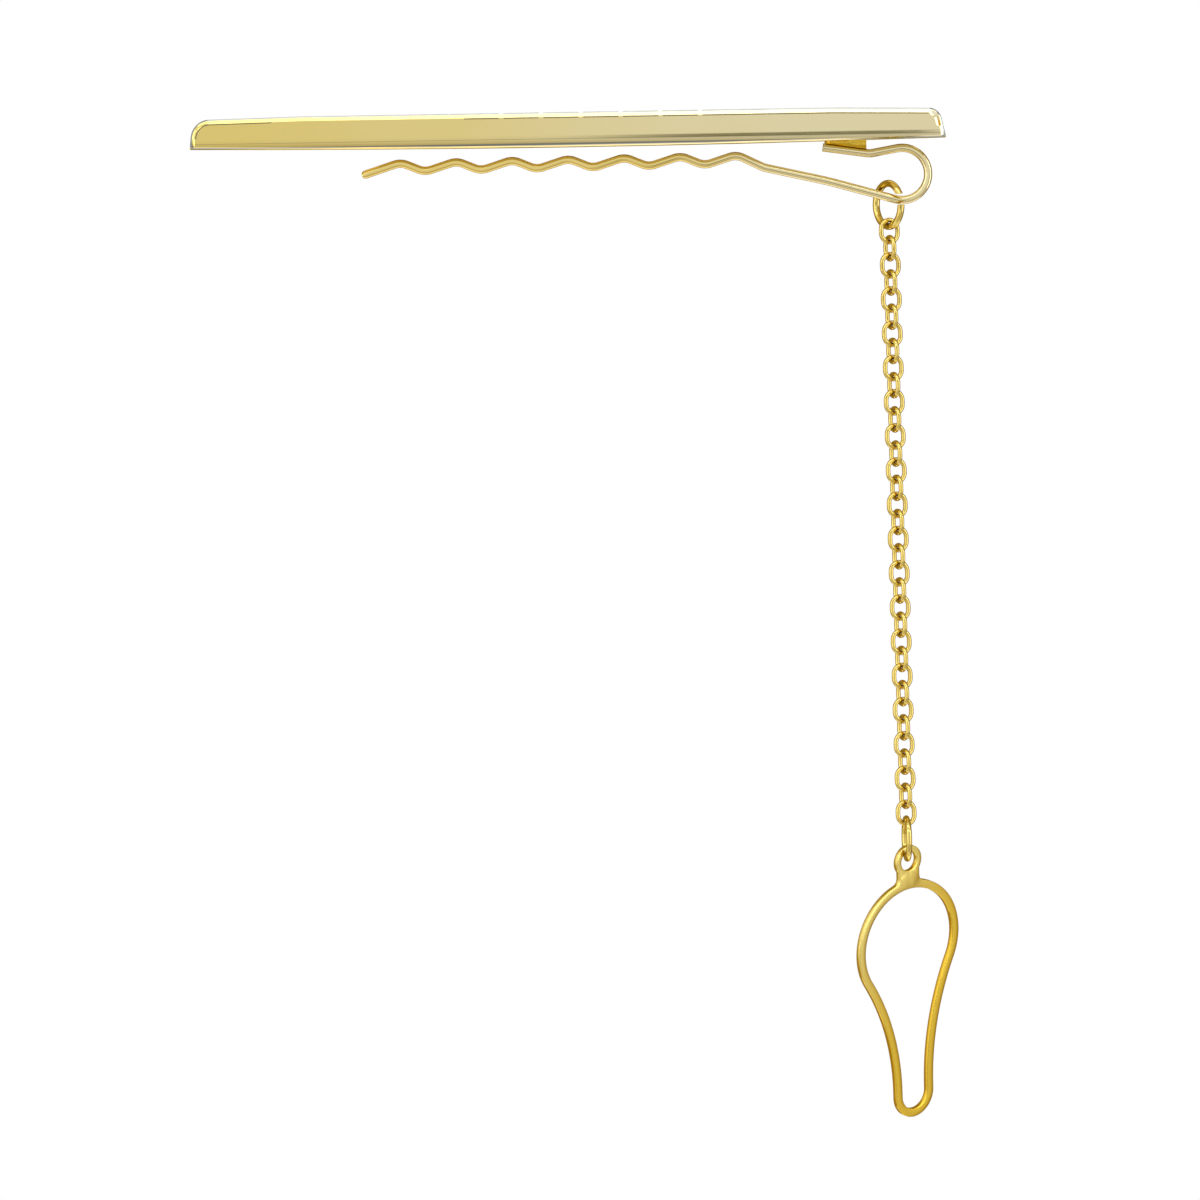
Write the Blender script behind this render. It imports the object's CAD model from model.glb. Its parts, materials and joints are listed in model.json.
"""Looks for the tie tack: polished gold bar, flat-wire clip spring, cable chain and button loop.

Sizes below are in millimetres and become metres through MM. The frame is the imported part's: the bar
lies along X with its front up, and the camera looks along +Y.
"""
import json
import math

import bmesh
import bpy
from mathutils import Matrix, Vector
from mathutils.geometry import delaunay_2d_cdt

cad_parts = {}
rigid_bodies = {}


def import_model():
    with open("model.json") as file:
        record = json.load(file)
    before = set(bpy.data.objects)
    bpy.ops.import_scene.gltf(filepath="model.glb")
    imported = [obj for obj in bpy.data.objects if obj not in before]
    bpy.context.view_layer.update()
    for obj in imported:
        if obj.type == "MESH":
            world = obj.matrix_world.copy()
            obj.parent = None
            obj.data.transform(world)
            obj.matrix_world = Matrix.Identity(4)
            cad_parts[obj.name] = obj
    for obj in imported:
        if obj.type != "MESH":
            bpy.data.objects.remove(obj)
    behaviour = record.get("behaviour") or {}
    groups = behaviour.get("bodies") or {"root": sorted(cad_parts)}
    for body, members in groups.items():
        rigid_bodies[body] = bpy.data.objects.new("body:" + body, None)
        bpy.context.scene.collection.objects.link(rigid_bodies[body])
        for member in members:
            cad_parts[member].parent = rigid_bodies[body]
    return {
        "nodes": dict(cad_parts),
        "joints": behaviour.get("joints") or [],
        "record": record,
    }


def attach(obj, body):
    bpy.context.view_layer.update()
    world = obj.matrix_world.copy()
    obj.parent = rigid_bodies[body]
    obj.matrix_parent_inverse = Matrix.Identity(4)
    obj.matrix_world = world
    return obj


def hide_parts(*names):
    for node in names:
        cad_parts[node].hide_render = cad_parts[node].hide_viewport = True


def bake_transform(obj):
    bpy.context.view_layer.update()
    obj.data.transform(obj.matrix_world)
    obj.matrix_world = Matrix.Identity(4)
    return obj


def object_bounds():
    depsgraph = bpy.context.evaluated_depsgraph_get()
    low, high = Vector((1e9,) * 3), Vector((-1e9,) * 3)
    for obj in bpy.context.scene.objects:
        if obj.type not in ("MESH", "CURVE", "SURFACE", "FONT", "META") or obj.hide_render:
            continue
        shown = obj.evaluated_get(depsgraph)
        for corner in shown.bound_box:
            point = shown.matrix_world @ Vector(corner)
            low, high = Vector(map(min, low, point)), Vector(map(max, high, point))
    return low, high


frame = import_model()
cad_low, cad_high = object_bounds()
record = frame["record"]
JOINTS = {joint["child"]: joint for joint in frame["joints"]}
MOUNTS = {mount["name"]: mount for mount in record["mounts"]}
MM = 0.001

# Camera and stage
VIEW_WIDTH = 90.5  # width of the picture at the object
VIEW_MIDDLE = (1.84, -34.2)  # picture's middle in X and Z
VIEW_ROLL = -0.96  # degrees
LENS = 1000  # long, so that the near and far sides keep the same size
SENSOR = 36
CLIP = (0.01, 10)  # metres from the camera
FLOOR_DROP = 46  # floor below the object's lowest point
FLOOR_RADIUS = 2000
FLOOR_TONE = (0.93, 0.93, 0.92)
FLOOR_ROUGHNESS = 0.9

# Bar
RIM_EDGE = 2.78  # this and the next four are distances of its side details from its middle
RIM_WORN = 2.845  # the bevel's outer part, down to here, is dull
LINE_FLOOR = 2.94
FLAP_FLOOR = 2.89
FINE_LOW, FINE_HIGH = 2.93, 2.95  # edges of the scored line stay crisp
BAR_HALF = 28.5
BACK_BOW = 0.28  # how far the back's ends stand above its middle
BACK_RADIUS = (BAR_HALF**2 + BACK_BOW**2) / (2 * BACK_BOW)
SHELL_EDGE = 0.02  # rounding of sharp edges
PLATE_EDGE = 0.03

# Clip spring
WIRE_WIDTH = 1.25
WIRE_THICKNESS = 0.62
WIRE_ROUNDING = 0.28
FOOT_X = 19.2
FOOT_SLOPE = 8.4
FOOT_CHAMFER = 0.035  # length of the broken edge round the foot's square end
FOOT_END = (0.94, 0.88)  # the end's share of the wire's width and thickness
DIP_X = 22.75
DIP_RADIUS = 1.2
BEND = (25.15, -2.45)
BEND_RADIUS = 1.97
BEND_START = 100  # degrees round the bend, from +X towards +Z
BEND_END = -105.9
BOW_X = 19.5
BOW_RADIUS = 25
KNEE = (14.75, -1.80)
KNEE_RADIUS = 2.0
WAVE_COUNT = 7
WAVE_PITCH = 4.22
WAVE_FALL = 1.8
WAVE_RADIUS = 1.4
FIRST_CREST = (-12.63, -0.96)
CREST_RISE = 0.028
WAVE_HEIGHT = 0.74
TIP = (-15.29, -1.82)
TIP_NARROWING = 0.1  # share of its width that the wire loses at its rounded tip

# Rings and links
RING_RADIUS = 1.625
RING_WIRE = 0.54
RING_GAP = (-0.02, 0.8)  # cut straight across its near side, at these heights above its centre
RING_CHAMFER = 0.03  # length of the broken edge round each cut end
RING_END = 0.9  # the end's share of the wire's thickness
LINK_PITCH = 1.291
LINK_WIRE = 0.35
LINK_WIDTH = 1.73
PLAY = 0.04
DROP_RING_RADIUS = 1.53
DROP_RING_WIRE = 0.45

# Button loop
LOOP_SHEET = 0.4
LOOP_STRIP = 0.65
LOOP_EDGE = 0.05  # rounding of the stamped edges
EYE_RADIUS = 1.24
EYE_HOLE = 0.76
NECK_HALF = 1.0
NECK_FILLET = 0.5
BULB_RADIUS = 4.96
BULB_DROP = 6.54
BULB_SHIFT = -0.2
SLOT_HALF = 1.86
SLOT_START = 18.45
SLOT_END = 18.82

# Solder under the spring's foot
SOLDER_START = 19.35
SOLDER_END = 22.5
SOLDER_HALF = 0.75
SOLDER_WAIST = 0.62
SOLDER_STEPS = 24  # along the bar
SOLDER_ROWS = 8  # from the bar to the wire
SOLDER_TAPERS = ((0.5, 3), (0.12, 2))  # how far each end draws in, over how many steps
SOLDER_RIPPLE = 0.03
RIPPLE_TURNS = (4.1, 3)  # radians per millimetre along the bar, and from the bar to the wire

# Fineness of the meshes
ARC_STEP = 3.0  # degrees between stations on an arc
EDGE_TURNS = (0, 30, 60, 90)  # stations round the loop's stamped edges
TIP_TURNS = range(12, 84, 12)  # and round the spring's tip
SHARP_ANGLE = 40  # degrees; shading breaks at edges sharper than this
CAD_SHARP_ANGLE = 35
LOOP_SHARP_ANGLE = 30
FLAT_ANGLE = 0.5  # faces that meet flatter than this become one
BEVEL_ANGLE = 25  # edges sharper than this are rounded
MERGE_DISTANCE = 0.0005
SAME_POINT = 1e-6


def add_object(name, data):
    obj = bpy.data.objects.new(name, data)
    bpy.context.scene.collection.objects.link(obj)
    return obj


# --- Curves in a plane ---------------------------------------------------------------------------
def arc(centre, radius, start, stop, step=ARC_STEP):
    """Points and tangents along an arc, in degrees; the tangent points the way it is travelled."""
    count = max(2, math.ceil(abs(stop - start) / step))
    way = 1 if stop > start else -1
    stations = []
    for i in range(count + 1):
        a = math.radians(start + (stop - start) * i / count)
        point = Vector((centre[0] + radius * math.cos(a), centre[1] + radius * math.sin(a)))
        stations.append((point, Vector((-math.sin(a), math.cos(a))) * way))
    return stations


def rounded_path(points, radii):
    """Stations along straight runs joined by arcs, one radius for each inner corner."""
    points = [Vector(p) for p in points]
    stations = [(points[0], (points[1] - points[0]).normalized())]
    for before, corner, after, radius in zip(points, points[1:], points[2:], radii):
        inwards, outwards = (corner - before).normalized(), (after - corner).normalized()
        turn = inwards.angle_signed(outwards) * -1
        reach = radius * math.tan(abs(turn) / 2)
        side = 1 if turn > 0 else -1
        normal = Vector((-inwards.y, inwards.x)) * side
        centre = corner - inwards * reach + normal * radius
        first = math.degrees(math.atan2(-normal.y, -normal.x))
        stations += arc(centre, radius, first, first + math.degrees(turn))
    stations.append((points[-1], (points[-1] - points[-2]).normalized()))
    return stations


def on_bend(angle):
    """The point of the spring's bend at an angle in degrees."""
    a = math.radians(angle)
    return BEND[0] + BEND_RADIUS * math.cos(a), BEND[1] + BEND_RADIUS * math.sin(a)


# --- Meshes --------------------------------------------------------------------------------------
def new_object(name, verts, faces):
    """An object from its points and faces, with every face turned outwards."""
    mesh = bpy.data.meshes.new(name)
    mesh.from_pydata(verts, [], faces)
    mesh.update()
    obj = add_object(name, mesh)
    bm = bmesh.new()
    bm.from_mesh(mesh)
    bmesh.ops.recalc_face_normals(bm, faces=bm.faces)
    bm.to_mesh(mesh)
    bm.free()
    return obj


def walls(around, rows, closed=False):
    """Faces between rows of as many points; the last row joins the first where closed."""
    faces = []
    for i in range(rows if closed else rows - 1):
        for j in range(around):
            this, following = i * around, (i + 1) % rows * around
            k = (j + 1) % around
            faces.append((this + j, this + k, following + k, following + j))
    if not closed:
        faces.append(tuple(reversed(range(around))))
        faces.append(tuple(range((rows - 1) * around, rows * around)))
    return faces


def smooth(obj, angle=SHARP_ANGLE):
    """Smooth shading that keeps the large faces flat and breaks at edges sharper than the angle."""
    obj.data.shade_smooth()
    obj.data.set_sharp_from_angle(angle=math.radians(angle))
    weigh = obj.modifiers.new("even_shading", "WEIGHTED_NORMAL")
    weigh.keep_sharp = True


def sweep(name, stations, section, closed=False):
    """A solid swept through stations: each is an origin, two directions and a scale for each."""
    verts = []
    for origin, u, v, scale_u, scale_v in stations:
        verts += [(origin + u * (a * scale_u) + v * (b * scale_v)) * MM for a, b in section]
    obj = new_object(name, verts, walls(len(section), len(stations), closed))
    smooth(obj)
    return obj


def circle_section(diameter, sides):
    turns = [2 * math.pi * i / sides for i in range(sides)]
    return [(diameter / 2 * math.cos(t), diameter / 2 * math.sin(t)) for t in turns]


def flat_wire_section():
    """A rectangle with rounded corners, with extra points on its flats for even shading."""
    x, y = WIRE_WIDTH / 2 - WIRE_ROUNDING, WIRE_THICKNESS / 2 - WIRE_ROUNDING
    points = []
    for quarter, corner in enumerate(((x, y), (-x, y), (-x, -y), (x, -y))):
        turn = arc(corner, WIRE_ROUNDING, 90 * quarter, 90 * quarter + 90, step=15)
        if points:
            points.append(points[-1].lerp(turn[0][0], 0.5))
        points += [point for point, _ in turn]
    points.append(points[-1].lerp(points[0], 0.5))
    return [tuple(point) for point in points]


# --- Pieces --------------------------------------------------------------------------------------
def from_cad(node, bevel):
    """A copy of a CAD node with its flat faces whole and its sharp edges slightly rounded."""
    mesh = frame["nodes"][node].data.copy()
    mesh.name = node + "_fine"
    obj = add_object(node + "_fine", mesh)
    bm = bmesh.new()
    bm.from_mesh(mesh)
    bmesh.ops.remove_doubles(bm, verts=bm.verts, dist=MERGE_DISTANCE * MM)
    flat = math.radians(FLAT_ANGLE)
    bmesh.ops.dissolve_limit(bm, angle_limit=flat, verts=bm.verts, edges=bm.edges)
    sharp = [
        e
        for e in bm.edges
        if len(e.link_faces) == 2
        and e.calc_face_angle() > math.radians(BEVEL_ANGLE)
        and not all(FINE_LOW < abs(v.co.y) / MM < FINE_HIGH for v in e.verts)
    ]
    bmesh.ops.bevel(
        bm,
        geom=sharp,
        offset=bevel * MM,
        segments=2,
        profile=0.5,
        affect="EDGES",
        clamp_overlap=True,
    )
    bm.to_mesh(mesh)
    bm.free()
    mesh.materials.clear()
    smooth(obj, CAD_SHARP_ANGLE)
    return obj


def spring_dip():
    """Where the wire dips between its foot and its bend."""
    start = on_bend(BEND_START)
    return DIP_X, start[1] - (start[0] - DIP_X) * math.tan(math.radians(BEND_START - 90))


def spring_foot_end():
    """Where the wire starts, on its centre line."""
    return FOOT_X, spring_dip()[1] + (DIP_X - FOOT_X) * math.tan(math.radians(FOOT_SLOPE))


def make_spring():
    """The whole clip spring as one wire, from its foot round the bend to its tip."""
    start, end = on_bend(BEND_START), on_bend(BEND_END)
    dip, foot = spring_dip(), spring_foot_end()
    slope = math.tan(math.radians(-90 - BEND_END))
    corners = [(BOW_X, end[1] + (end[0] - BOW_X) * slope), KNEE]
    radii = [BOW_RADIUS, KNEE_RADIUS]
    for wave in reversed(range(WAVE_COUNT)):
        crest = (FIRST_CREST[0] + wave * WAVE_PITCH, FIRST_CREST[1] + wave * CREST_RISE)
        if wave < WAVE_COUNT - 1:
            corners.append((crest[0] + WAVE_FALL, crest[1] - WAVE_HEIGHT))
            radii.append(WAVE_RADIUS)
        corners.append(crest)
        radii.append(WAVE_RADIUS)
    path = rounded_path([foot, dip, start], [DIP_RADIUS])
    path += arc(BEND, BEND_RADIUS, BEND_START, BEND_END)[1:]
    path += rounded_path([end, *corners, TIP], radii)[1:]
    stations = []
    across = Vector((0, 1, 0))
    for point, tangent in path:
        up = Vector((-tangent.y, 0, tangent.x))
        stations.append((Vector((point.x, 0, point.y)), across, up, 1, 1))
    # square foot end with its edge broken, and a full round at the tip
    origin, across, up, _, _ = stations[0]
    forwards = Vector((path[0][1].x, 0, path[0][1].y))
    stations[0:1] = [
        (origin, across, up, *FOOT_END),
        (origin + forwards * FOOT_CHAMFER, across, up, 1, 1),
    ]
    origin, across, up, _, _ = stations[-1]
    forwards = Vector((path[-1][1].x, 0, path[-1][1].y))
    for turn in TIP_TURNS:
        a = math.radians(turn)
        bulge = forwards * math.sin(a) * WIRE_THICKNESS / 2
        width = 1 - TIP_NARROWING * (1 - math.cos(a))
        stations.append((origin + bulge, across, up, width, math.cos(a)))
    return sweep("clip_spring", stations, flat_wire_section())


def make_solder():
    """A fillet of solder between the bar's back and the spring's foot, drawn in at its waist."""
    _, foot_z = spring_foot_end()
    slope = math.radians(FOOT_SLOPE)
    wire_top = foot_z + WIRE_THICKNESS / 2 / math.cos(slope)
    verts = []
    for step in range(SOLDER_STEPS + 1):
        x = SOLDER_START + (SOLDER_END - SOLDER_START) * step / SOLDER_STEPS
        high = BACK_RADIUS - math.sqrt(BACK_RADIUS**2 - x**2)
        low = wire_top - (x - FOOT_X) * math.tan(slope)
        ends = 1
        for (drawn, steps), from_end in zip(SOLDER_TAPERS, (step, SOLDER_STEPS - step)):
            ends -= drawn * max(0, 1 - from_end / steps) ** 2
        side = []
        for row in range(SOLDER_ROWS + 1):
            t = row / SOLDER_ROWS
            bow = (2 * t - 1) ** 2
            phase = RIPPLE_TURNS[0] * x + RIPPLE_TURNS[1] * t
            ripple = SOLDER_RIPPLE * math.sin(phase) * (1 - bow)
            half = (SOLDER_WAIST + (SOLDER_HALF - SOLDER_WAIST) * bow + ripple) * ends
            side.append(Vector((x, -half, high + (low - high) * t)) * MM)
        verts += side + [Vector((point.x, -point.y, point.z)) for point in reversed(side)]
    faces = walls(2 * (SOLDER_ROWS + 1), SOLDER_STEPS + 1)
    obj = new_object("foot_solder_fine", verts, faces)
    smooth(obj)
    return obj


def down_chain(child):
    """Where a chain piece's own foot is, its level direction and the way down, from the joints."""
    below = next(joint for joint in frame["joints"] if joint["parent"] == child)
    foot = Vector(below["pos_m"]) / MM
    first, last = (Vector(JOINTS[name]["pos_m"]) for name in ("chain_link_01", "button_loop"))
    down = (last - first).normalized()
    level = Vector(below["axis"]).normalized()
    if level.x < 0:
        level = -level
    return foot, level, down


def ring_stations(centre, level, up, radius, start, stop, step=6):
    """Stations along an arc in the plane of the level and upward directions."""
    normal = level.cross(up)
    stations = []
    for point, _ in arc((0, 0), 1, start, stop, step):
        outwards = level * point.x + up * point.y
        stations.append((centre + outwards * radius, outwards, normal, 1, 1))
    return stations


def make_jump_ring():
    """An open ring whose two ends are cut straight across, level with each other."""
    foot, level, down = down_chain("jump_ring")
    up = -down
    last, first = (math.degrees(math.asin(height / RING_RADIUS)) for height in RING_GAP)
    stations = ring_stations(foot + up * RING_RADIUS, level, up, RING_RADIUS, first, 360 + last)
    for end in (0, -1):
        origin, u, v, _, _ = stations[end]
        along = u.cross(v).normalized()
        level_u = u - along * (u.dot(up) / along.dot(up))
        inside = up * (RING_CHAMFER if end == 0 else -RING_CHAMFER)
        stations[end] = (origin + inside, level_u, v, 1, 1)
        broken = (origin, level_u, v, RING_END, RING_END)
        stations.insert(0 if end == 0 else len(stations), broken)
    return sweep("jump_ring_fine", stations, circle_section(RING_WIRE, sides=24))


def make_link(node):
    """An oval link: two half rings with a straight run between them."""
    foot, level, down = down_chain(node)
    radius = (LINK_WIDTH - LINK_WIRE) / 2
    half = (LINK_PITCH + PLAY + LINK_WIRE) / 2
    centre = foot - down * half
    straight = half - radius
    up = -down
    stations = []
    for offset, start in ((straight, 0), (-straight, 180)):
        middle = centre + up * offset
        stations += ring_stations(middle, level, up, radius, start, start + 180, step=10)
    return sweep(node + "_fine", stations, circle_section(LINK_WIRE, sides=16), closed=True)


def make_drop_ring():
    foot, level, down = down_chain("drop_ring")
    centre = foot - down * DROP_RING_RADIUS
    stations = ring_stations(centre, level, -down, DROP_RING_RADIUS, 0, 360)
    section = circle_section(DROP_RING_WIRE, sides=20)
    return sweep("drop_ring_fine", stations[:-1], section, closed=True)


def along_arc(centre, radius, start, stop, step=ARC_STEP):
    """The points of an arc without their tangents."""
    return [point for point, _ in arc(centre, radius, start, stop, step)]


def body_half(inset, shift):
    """Right half of the loop from its eye to its foot, its bulb moved over and its edge set in."""
    slot = SLOT_HALF - inset
    over, fall = SLOT_HALF - shift, SLOT_START - BULB_DROP
    waist = (fall**2 + over**2 - BULB_RADIUS**2) / (2 * (BULB_RADIUS - over))
    waist_x = SLOT_HALF + waist
    meet = math.degrees(math.atan2(-fall, waist_x - shift))
    top = 90
    points = []
    if inset < LOOP_STRIP / 2:  # the outside leaves the bulb at the neck's fillet
        middle_x = NECK_HALF + NECK_FILLET
        rise = math.sqrt((BULB_RADIUS + NECK_FILLET) ** 2 - (middle_x - shift) ** 2)
        top = math.degrees(math.atan2(rise, middle_x - shift))
        eye = EYE_RADIUS - inset
        leave = math.degrees(math.acos((NECK_HALF - inset) / eye))
        points += along_arc((0, 0), eye, 90, -leave, step=8)
        middle = (middle_x, rise - BULB_DROP)
        points += along_arc(middle, NECK_FILLET + inset, 180, 180 + top, step=10)
    points += along_arc((shift, -BULB_DROP), BULB_RADIUS - inset, top, meet)
    points += along_arc((waist_x, -SLOT_START), waist + inset, meet + 180, 180, step=1.5)[1:]
    points += along_arc((0, -SLOT_END), slot, 0, -90, step=7)
    return [
        p for j, p in enumerate(points) if j == 0 or (p - points[j - 1]).length > SAME_POINT
    ]


def closed_outline(inset):
    """Both halves of the loop's outline joined into one ring of points."""
    left = body_half(inset, -BULB_SHIFT)
    return body_half(inset, BULB_SHIFT) + [Vector((-p.x, p.y)) for p in reversed(left[1:-1])]


def encloses(outlines, point):
    """Whether the point lies in the sheet: inside the outer outline and outside the holes."""
    crossings = 0
    for outline in outlines:
        for a, b in zip(outline, outline[1:] + outline[:1]):
            if (a.y > point.y) != (b.y > point.y):
                crossings += point.x < a.x + (point.y - a.y) * (b.x - a.x) / (b.y - a.y)
    return crossings % 2 == 1


def fill_between(outlines):
    """Triangles, as indices into the joined outlines, that cover the sheet between them."""
    edges = []
    for outline in outlines:
        start = len(edges)
        count = len(outline)
        edges += [(start + j, start + (j + 1) % count) for j in range(count)]
    points = [Vector(p) for outline in outlines for p in outline]
    corners, _, triangles, origins, _, _ = delaunay_2d_cdt(points, edges, [], 0, SAME_POINT)
    kept = []
    for triangle in triangles:
        middle = sum((corners[i] for i in triangle), Vector((0, 0))) / 3
        if encloses(outlines, middle):
            kept.append([origins[i][0] for i in triangle])
    return kept


def make_button_loop():
    """The stamped loop: rows of its outlines make the walls, and two faces fill between them."""
    pivot = Vector(JOINTS["button_loop"]["pos_m"]) / MM
    slot = Vector(MOUNTS["button_loop"]["pos_m"]) / MM
    up = (pivot - slot).normalized()
    normal = Vector(MOUNTS["button_loop"]["axis"]).normalized()
    level = up.cross(normal)
    eye = slot + up * SLOT_START

    def outlines(inset):
        hole = along_arc((0, 0), EYE_HOLE + inset, 0, 360, step=9)[:-1]
        return closed_outline(inset), closed_outline(LOOP_STRIP - inset), hole

    half = LOOP_SHEET / 2
    rows = []
    for turn in EDGE_TURNS:
        a = math.radians(turn)
        rows.append((LOOP_EDGE * (1 - math.sin(a)), -half + LOOP_EDGE * (1 - math.cos(a))))
    rows += [(inset, -height) for inset, height in reversed(rows)]
    bm = bmesh.new()
    caps = ([], [])
    for which in range(3):
        previous = None
        for number, (inset, height) in enumerate(rows):
            row = []
            for p in outlines(inset)[which]:
                place = eye + level * p.x + up * p.y + normal * height
                row.append(bm.verts.new(place * MM))
            count = len(row)
            if previous:
                for j in range(count):
                    k = (j + 1) % count
                    bm.faces.new((previous[j], previous[k], row[k], row[j]))
            if number in (0, len(rows) - 1):
                caps[0 if number == 0 else 1].extend(row)
            previous = row
    triangles = fill_between(outlines(rows[0][0]))
    for rim in caps:
        for corners in triangles:
            bm.faces.new([rim[i] for i in corners])
    bmesh.ops.recalc_face_normals(bm, faces=bm.faces)
    obj = new_object("button_loop_fine", [], [])
    bm.to_mesh(obj.data)
    bm.free()
    smooth(obj, LOOP_SHARP_ANGLE)
    return obj


# --- Shader nodes --------------------------------------------------------------------------------
def emptied_tree(owner):
    """The node tree of a new material or world, with its default nodes taken out."""
    owner.use_nodes = True
    owner.node_tree.nodes.clear()
    return owner.node_tree


def node_of(tree, kind, **values):
    node = tree.nodes.new(kind)
    for name, value in values.items():
        setattr(node, name, value)
    return node


def object_axes(tree, socket):
    """The X, Y and Z outputs of a vector."""
    split = node_of(tree, "ShaderNodeSeparateXYZ")
    tree.links.new(socket, split.inputs[0])
    return split.outputs


def remap(tree, value, start, stop, to=(0, 1), kind="SMOOTHSTEP"):
    """A socket that goes from one end of `to` to the other as the value goes from start to stop."""
    node = node_of(tree, "ShaderNodeMapRange", interpolation_type=kind)
    for name, number in zip(("From Min", "From Max", "To Min", "To Max"), (start, stop, *to)):
        node.inputs[name].default_value = number
    tree.links.new(value, node.inputs["Value"])
    return node.outputs["Result"]


def product(tree, first, second):
    node = node_of(tree, "ShaderNodeMath", operation="MULTIPLY")
    tree.links.new(first, node.inputs[0])
    tree.links.new(second, node.inputs[1])
    return node.outputs[0]


def scaled_sum(tree, value, factor, added, clamp=False):
    """The value times a factor, plus another socket."""
    node = node_of(tree, "ShaderNodeMath", operation="MULTIPLY_ADD", use_clamp=clamp)
    tree.links.new(value, node.inputs[0])
    node.inputs[1].default_value = factor
    tree.links.new(added, node.inputs[2])
    return node.outputs[0]


def noise(tree, vector, scale, detail):
    node = node_of(tree, "ShaderNodeTexNoise")
    node.inputs["Scale"].default_value = scale
    node.inputs["Detail"].default_value = detail
    tree.links.new(vector, node.inputs["Vector"])
    return node.outputs["Fac"]


def bump(tree, height, strength, distance, under=None):
    """A bumped normal, on top of the one under it."""
    node = node_of(tree, "ShaderNodeBump")
    node.inputs["Strength"].default_value = strength
    node.inputs["Distance"].default_value = distance * MM
    tree.links.new(height, node.inputs["Height"])
    if under:
        tree.links.new(under, node.inputs["Normal"])
    return node.outputs[0]


def window(tree, value, low, high, soft):
    """A socket that is 1 where the value lies between low and high, with soft ends."""
    above = remap(tree, value, low - soft, low + soft)
    return product(tree, above, remap(tree, value, high + soft, high - soft))


def paint(tree, colour, tone, *masks):
    """The colour, a socket or three numbers, turned to the tone where all the masks are 1."""
    mix = node_of(tree, "ShaderNodeMix", data_type="RGBA")
    if isinstance(colour, tuple):
        mix.inputs["A"].default_value = (*colour, 1)
    else:
        tree.links.new(colour, mix.inputs["A"])
    mix.inputs["B"].default_value = (*tone, 1)
    where = masks[0]
    for mask in masks[1:]:
        where = product(tree, where, mask)
    tree.links.new(where, mix.inputs["Factor"])
    return mix.outputs["Result"]


# --- Materials -----------------------------------------------------------------------------------
# All gold: noise scales are per metre, bumps in millimetres
DRIFT_SCALE = 160
DRIFT_RANGE = (0.35, 0.7)
DRIFT_SHARE = 0.12  # what the drift adds where the tone already runs along the piece
SCRATCH_SCALE = 9000
SCRATCH_STRETCH = 0.12  # long in X
SCRATCH_RANGE = (0.3, 0.75)
SCRATCH_DULL = 0.12  # roughness that a scratch adds
SCRATCH_BUMP = 0.001
SWELL_SCALE = 700
SWELL_BUMP = 0.02
BUMP_STRENGTH = 0.05

# Corners where pieces meet are darker
CREVICE_REACH = 0.45
CREVICE_RANGE = (0.75, 0.2)
CREVICE_TONE = (0.22, 0.12, 0.015)

# Bar: tones by height on the floors of the scored line and the flap, and on the rim
FACE_LEVEL = (0.975, 2, 0.015)  # share of the normal across the bar: from, to and softness
FACE_BEVELLED = (0.5, 0.96, 0.01)
FLOOR_REACH = 0.02  # a floor is painted this far to each side of its depth
LINE_TONE = (0.26, 0.22, 0.11)
LINE_HEIGHT = (0.45, 3, 0.02)
FLAP_TONE = (0.93, 0.86, 0.62)
FLAP_FOOT = (  # down the flap: tone and the height and softness of its top
    ((0.72, 0.60, 0.26), 1.85, 0.2),
    ((0.80, 0.44, 0.05), 1.5, 0.12),
    ((0.25, 0.15, 0.02), 1.17, 0.03),
)
RIM_TONE = (0.29, 0.30, 0.29)
RIM_ABOVE = 0.1  # the dull part reaches this far above the bevel's edge
RIM_SOFT = 0.02


def gold(name, colour, deep, roughness, wear=1.0, run=None, lean=0, grime=0):
    """Polished gold plate between two tones, with fine scratches and a soft swell.

    The tones drift into each other, or the second takes over as X plus `lean` times Z goes through
    the `run`. `wear` scales the scratches and the swell. The crevices darken by `grime`.
    """
    material = bpy.data.materials.new(name)
    tree = emptied_tree(material)
    link = tree.links.new
    out = node_of(tree, "ShaderNodeOutputMaterial")
    shader = node_of(tree, "ShaderNodeBsdfPrincipled")
    shader.inputs["Metallic"].default_value = 1.0
    link(shader.outputs[0], out.inputs[0])
    place = node_of(tree, "ShaderNodeTexCoord").outputs["Object"]

    drift = noise(tree, place, DRIFT_SCALE, detail=3)
    share = remap(tree, drift, *DRIFT_RANGE, kind="LINEAR")
    if run:
        axes = object_axes(tree, place)
        slanted = scaled_sum(tree, axes["Z"], lean, axes["X"])
        along = remap(tree, slanted, run[0] * MM, run[1] * MM)
        share = scaled_sum(tree, share, DRIFT_SHARE, along, clamp=True)
    tone = paint(tree, colour, deep, share)
    if grime:
        corner = node_of(tree, "ShaderNodeAmbientOcclusion", samples=8)
        corner.inputs["Distance"].default_value = CREVICE_REACH * MM
        deepen = remap(tree, corner.outputs["AO"], *CREVICE_RANGE, to=(0, grime))
        tone = paint(tree, tone, CREVICE_TONE, deepen)
    link(tone, shader.inputs["Base Color"])

    stretch = node_of(tree, "ShaderNodeMapping")
    stretch.inputs["Scale"].default_value = (SCRATCH_STRETCH, 1, 1)
    link(place, stretch.inputs["Vector"])
    scratch = noise(tree, stretch.outputs[0], SCRATCH_SCALE, detail=4)
    dull = (roughness, roughness + SCRATCH_DULL * wear)
    link(remap(tree, scratch, *SCRATCH_RANGE, to=dull, kind="LINEAR"), shader.inputs["Roughness"])

    strength = BUMP_STRENGTH * wear
    swell = bump(tree, noise(tree, place, SWELL_SCALE, detail=1), strength, SWELL_BUMP)
    link(bump(tree, scratch, strength, SCRATCH_BUMP, under=swell), shader.inputs["Normal"])
    return material


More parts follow.
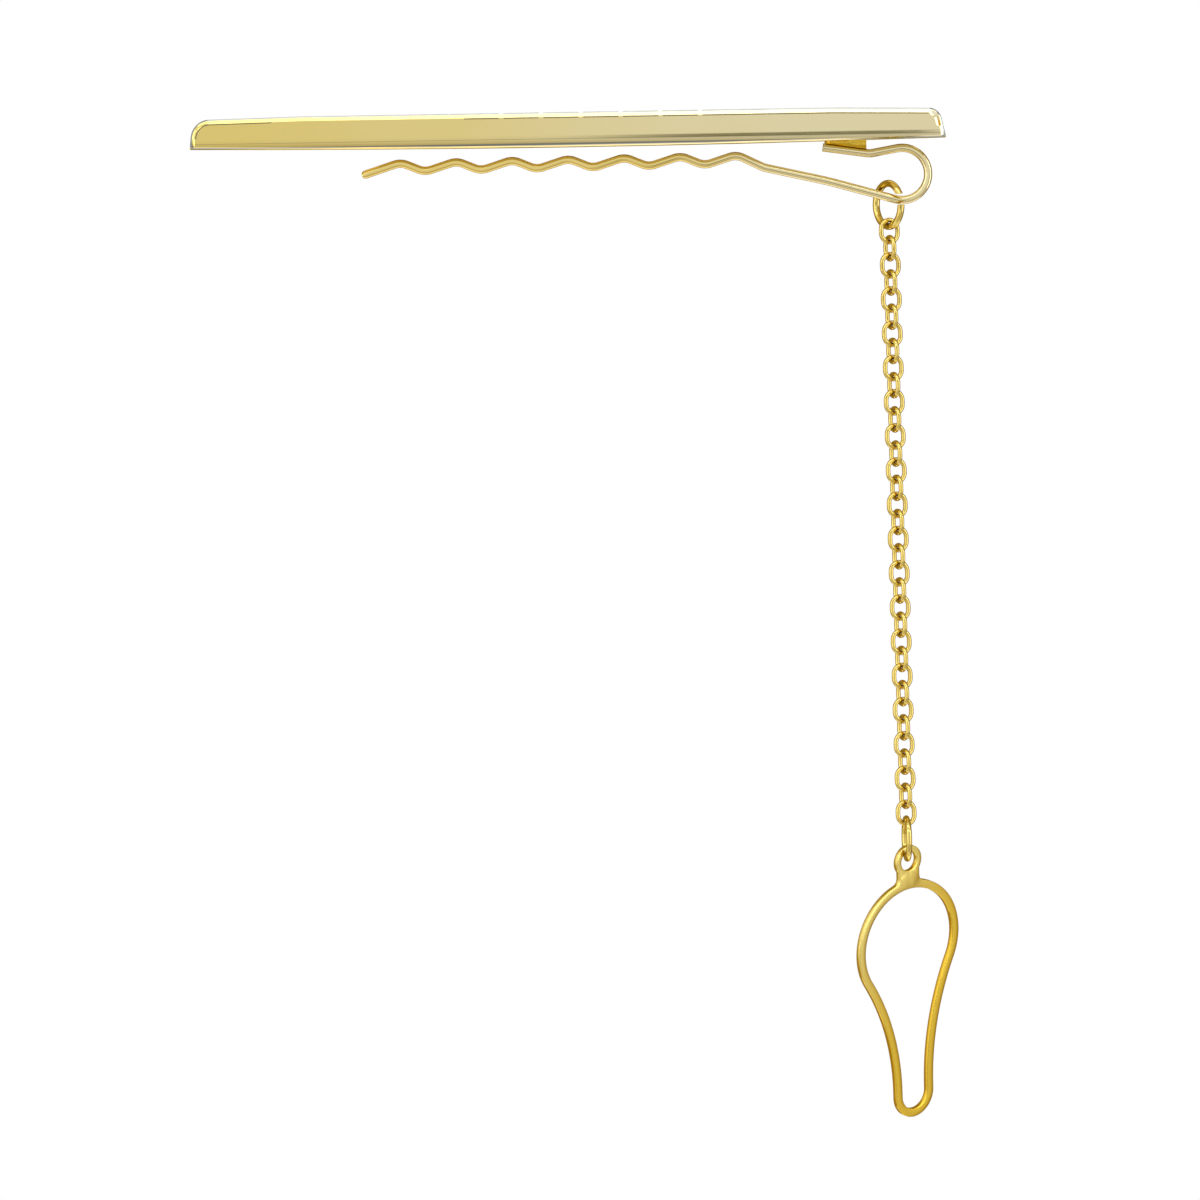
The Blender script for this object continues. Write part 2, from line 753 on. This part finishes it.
def mark_bar(material):
    """Adds the bar's own tones: its scored line, its end flap and the dull edge of its rim."""
    tree = material.node_tree
    base = tree.nodes["Principled BSDF"].inputs["Base Color"]
    place = object_axes(tree, node_of(tree, "ShaderNodeTexCoord").outputs["Object"])
    normal = object_axes(tree, node_of(tree, "ShaderNodeNewGeometry").outputs["True Normal"])
    aside, sideways = (node_of(tree, "ShaderNodeMath", operation="ABSOLUTE") for _ in range(2))
    tree.links.new(place["Y"], aside.inputs[0])
    tree.links.new(normal["Y"], sideways.inputs[0])

    def across(low, high, soft=0.004):
        return window(tree, aside.outputs[0], low * MM, high * MM, soft * MM)

    def height(low, high, soft):
        return window(tree, place["Z"], low * MM, high * MM, soft * MM)

    level = window(tree, sideways.outputs[0], *FACE_LEVEL)
    bevelled = window(tree, sideways.outputs[0], *FACE_BEVELLED)
    line = across(LINE_FLOOR - FLOOR_REACH, LINE_FLOOR + FLOOR_REACH)
    flap = across(FLAP_FLOOR - FLOOR_REACH, FLAP_FLOOR + FLOOR_REACH)
    rim = across(RIM_EDGE - RIM_ABOVE, RIM_WORN, RIM_SOFT)
    colour = paint(tree, base.links[0].from_socket, LINE_TONE, line, level, height(*LINE_HEIGHT))
    colour = paint(tree, colour, FLAP_TONE, flap, level)
    for tone, top, soft in FLAP_FOOT:
        colour = paint(tree, colour, tone, flap, level, height(0, top, soft))
    colour = paint(tree, colour, RIM_TONE, bevelled, rim)
    tree.links.new(colour, base)


BAR_GOLD = gold(
    "bar_gold", (0.785, 0.615, 0.18), (0.81, 0.72, 0.43), roughness=0.09, run=(-30, 26)
)
mark_bar(BAR_GOLD)
SPRING_GOLD = gold(
    "spring_gold",
    (0.85, 0.655, 0.205),
    (0.87, 0.75, 0.42),
    roughness=0.1,
    wear=0.2,
    run=(6, 17),
    grime=0.5,
)
CHAIN_GOLD = gold(
    "chain_gold", (0.83, 0.65, 0.20), (0.80, 0.61, 0.165), roughness=0.1, wear=0.2, grime=1
)
LOOP_GOLD = gold(
    "loop_gold",
    (0.97, 0.81, 0.28),
    (0.92, 0.63, 0.07),
    roughness=0.2,
    wear=0.15,
    run=(49, 58),
    lean=-0.5,
    grime=0.5,
)
SOLDER_GOLD = gold(
    "solder_gold", (0.97, 0.72, 0.10), (0.93, 0.62, 0.07), roughness=0.2, wear=1.5
)


# --- Put the pieces together ---------------------------------------------------------------------
def dress(obj, material):
    obj.data.materials.clear()
    obj.data.materials.append(material)


def place(obj, material, slot, body, *nodes):
    dress(obj, material)
    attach(obj, body)
    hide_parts(*nodes)


place(from_cad("bar_shell", SHELL_EDGE), BAR_GOLD, "bar_gold", "bar", "bar_shell")
place(from_cad("back_plate", PLATE_EDGE), BAR_GOLD, "bar_gold", "bar", "back_plate")
place(make_solder(), SOLDER_GOLD, "solder", "bar", "foot_solder")

spring = make_spring()
dress(spring, SPRING_GOLD)
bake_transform(spring)
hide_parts("spring_foot", "spring_arm")

place(make_jump_ring(), CHAIN_GOLD, "chain_gold", "jump_ring", "jump_ring")
for link_node in sorted(node for node in frame["nodes"] if node.startswith("chain_link_")):
    place(make_link(link_node), CHAIN_GOLD, "chain_gold", link_node, link_node)
place(make_drop_ring(), CHAIN_GOLD, "chain_gold", "drop_ring", "drop_ring")
place(make_button_loop(), LOOP_GOLD, "chain_gold", "button_loop", "button_loop")


# --- Stage ---------------------------------------------------------------------------------------
# Softboxes: the way to each, its width and height in metres and its radiance
LIGHT_DISTANCE = 0.5
LIGHTS = {
    "top_softbox": ((0, -0.44, 0.90), (0.8, 0.08), 1.75),
    "left_softbox": ((-0.88, -0.47, 0.05), (0.05, 0.5), 2.6),
    "right_softbox": ((0.934, -0.358, 0.05), (0.15, 0.5), 2.2),
    "foot_softbox": ((0, 0.42, -0.91), (0.8, 0.25), 1.25),
    "high_strip": ((0, -0.77, 0.64), (0.8, 0.03), 3),
    "side_strip": ((-0.64, -0.77, 0.02), (0.03, 0.5), 3),
}

# Dark card that the bar's right half mirrors
CARD_MIDDLE = (13, -28, -9.0)
CARD_SIZE = (31, 13)
CARD_TONE = (0.27, 0.26, 0.2)
CARD_EDGES = (  # the card's local axes, their ends and how softly it fades there
    ("X", -0.5, 0.45),
    ("X", 0.5, 0.08),
    ("Y", -0.5, 0.35),
    ("Y", 0.5, 0.35),
)

# Studio: depth from behind the object (0) to in front (1), with brightness and warmth there
UPPER_TONES = (
    (0.0, 0.3, 1),
    (0.4, 0.34, 1),
    (0.5, 0.8, 0.3),
    (0.66, 0.9, 0),
    (0.78, 0.9, 0),
    (0.93, 0.8, 0),
    (1.0, 0.88, 0),
)
LOWER_TONES = (
    (0.0, 0.3, 1),
    (0.4, 0.34, 1),
    (0.49, 0.9, 0.2),
    (0.57, 0.9, 0),
    (0.67, 0.58, 0.3),
    (0.86, 0.62, 0.2),
    (0.95, 0.8, 0),
    (1.0, 0.88, 0),
)
TONES_MEET = 0.15  # the lower tones become the upper ones between this far below and above level
WARM_GREEN, WARM_BLUE = 0.3, 0.85  # share of each that full warmth takes away
ROOM_SIDES = (0.8, 1.2)  # strength at the right and at the left


def make_floor():
    mesh = bpy.data.meshes.new("floor")
    bm = bmesh.new()
    bmesh.ops.create_circle(bm, cap_ends=True, segments=96, radius=FLOOR_RADIUS * MM)
    bm.to_mesh(mesh)
    bm.free()
    floor = add_object("floor", mesh)
    floor.location = (0, 0, cad_low.z - FLOOR_DROP * MM)
    material = bpy.data.materials.new("floor_paper")
    material.use_nodes = True
    shader = material.node_tree.nodes["Principled BSDF"]
    shader.inputs["Base Color"].default_value = (*FLOOR_TONE, 1)
    shader.inputs["Roughness"].default_value = FLOOR_ROUGHNESS
    floor.data.materials.append(material)
    floor.visible_glossy = False  # the gold mirrors the studio's lower half instead


def make_card():
    """A dark card that only the gold's reflections see."""
    mesh = bpy.data.meshes.new("dark_card")
    bm = bmesh.new()
    bmesh.ops.create_grid(bm, x_segments=1, y_segments=1, size=0.5)
    bm.to_mesh(mesh)
    bm.free()
    card = add_object("dark_card", mesh)
    card.location = Vector(CARD_MIDDLE) * MM
    card.scale = (CARD_SIZE[0] * MM, CARD_SIZE[1] * MM, 1)
    facing = Vector((0, *CARD_MIDDLE[1:]))
    card.rotation_euler = facing.to_track_quat("Z", "Y").to_euler()
    material = bpy.data.materials.new("dark_card")
    tree = emptied_tree(material)
    link = tree.links.new
    out = node_of(tree, "ShaderNodeOutputMaterial")
    blend = node_of(tree, "ShaderNodeMixShader")
    clear = node_of(tree, "ShaderNodeBsdfTransparent")
    dark = node_of(tree, "ShaderNodeEmission")
    dark.inputs["Color"].default_value = (*CARD_TONE, 1)
    axes = object_axes(tree, node_of(tree, "ShaderNodeTexCoord").outputs["Object"])
    cover = None
    for axis, end, soft in CARD_EDGES:
        edge = remap(tree, axes[axis], end, end - math.copysign(soft, end))
        cover = product(tree, cover, edge) if cover else edge
    link(cover, blend.inputs[0])
    link(clear.outputs[0], blend.inputs[1])
    link(dark.outputs[0], blend.inputs[2])
    link(blend.outputs[0], out.inputs[0])
    mesh.materials.append(material)
    card.visible_camera = False
    card.visible_diffuse = False
    card.visible_shadow = False


def make_camera(middle):
    """A level camera far off along -Y, rolled slightly, that looks at the picture's middle."""
    distance = VIEW_WIDTH * MM * LENS / SENSOR
    data = bpy.data.cameras.new("camera")
    data.lens = LENS
    data.sensor_width = SENSOR
    data.clip_start, data.clip_end = CLIP
    camera = add_object("camera", data)
    level = Matrix.Rotation(math.radians(90), 4, "X")
    roll = Matrix.Rotation(math.radians(VIEW_ROLL), 4, "Z")
    stand = Matrix.Translation((middle.x, middle.y - distance, middle.z))
    camera.matrix_world = stand @ (level @ roll)
    bpy.context.scene.camera = camera


def make_light(name, way, size, glow, target):
    """A softbox that faces the target."""
    data = bpy.data.lights.new(name, "AREA")
    data.shape = "RECTANGLE"
    data.size, data.size_y = size
    data.energy = glow * math.pi * size[0] * size[1]
    light = add_object(name, data)
    light.location = target + Vector(way).normalized() * LIGHT_DISTANCE
    light.rotation_euler = (target - light.location).to_track_quat("-Z", "Y").to_euler()


def ring_tones(tree, tones, depth):
    """A colour ramp over the depth, through tones of a position, a brightness and a warmth."""
    ramp = node_of(tree, "ShaderNodeValToRGB")
    ends = ramp.color_ramp.elements
    stops = [ends[0]] + [ends.new(tone[0]) for tone in tones[1:-1]] + [ends[-1]]
    for stop, (position, glow, warmth) in zip(stops, tones):
        stop.position = position
        green, blue = glow * (1 - WARM_GREEN * warmth), glow * (1 - WARM_BLUE * warmth)
        stop.color = (glow, green, blue, 1)
    tree.links.new(depth, ramp.inputs[0])
    return ramp.outputs["Color"]


def make_world():
    """White to the camera; to the gold a studio in rings about the way the camera looks from."""
    world = bpy.data.worlds.new("studio")
    bpy.context.scene.world = world
    tree = emptied_tree(world)
    link = tree.links.new
    out = node_of(tree, "ShaderNodeOutputWorld")
    choose = node_of(tree, "ShaderNodeMixShader")
    seen = node_of(tree, "ShaderNodeLightPath")
    white = node_of(tree, "ShaderNodeBackground")
    white.inputs["Color"].default_value = (1, 1, 1, 1)
    room = node_of(tree, "ShaderNodeBackground")
    way = object_axes(tree, node_of(tree, "ShaderNodeTexCoord").outputs["Generated"])
    depth = remap(tree, way["Y"], 1, -1, kind="LINEAR")
    rings = node_of(tree, "ShaderNodeMix", data_type="RGBA")
    link(remap(tree, way["Z"], -TONES_MEET, TONES_MEET), rings.inputs["Factor"])
    link(ring_tones(tree, LOWER_TONES, depth), rings.inputs["A"])
    link(ring_tones(tree, UPPER_TONES, depth), rings.inputs["B"])
    link(rings.outputs["Result"], room.inputs["Color"])
    strength = remap(tree, way["X"], 1, -1, to=ROOM_SIDES, kind="LINEAR")
    link(strength, room.inputs["Strength"])
    link(seen.outputs["Is Camera Ray"], choose.inputs[0])
    link(room.outputs[0], choose.inputs[1])
    link(white.outputs[0], choose.inputs[2])
    link(choose.outputs[0], out.inputs[0])


make_floor()
view_middle = Vector((VIEW_MIDDLE[0], 0, VIEW_MIDDLE[1])) * MM
make_camera(view_middle)
for light_name, (way, size, glow) in LIGHTS.items():
    make_light(light_name, way, size, glow, view_middle)
make_card()
make_world()
bpy.context.scene.view_settings.view_transform = "Standard"
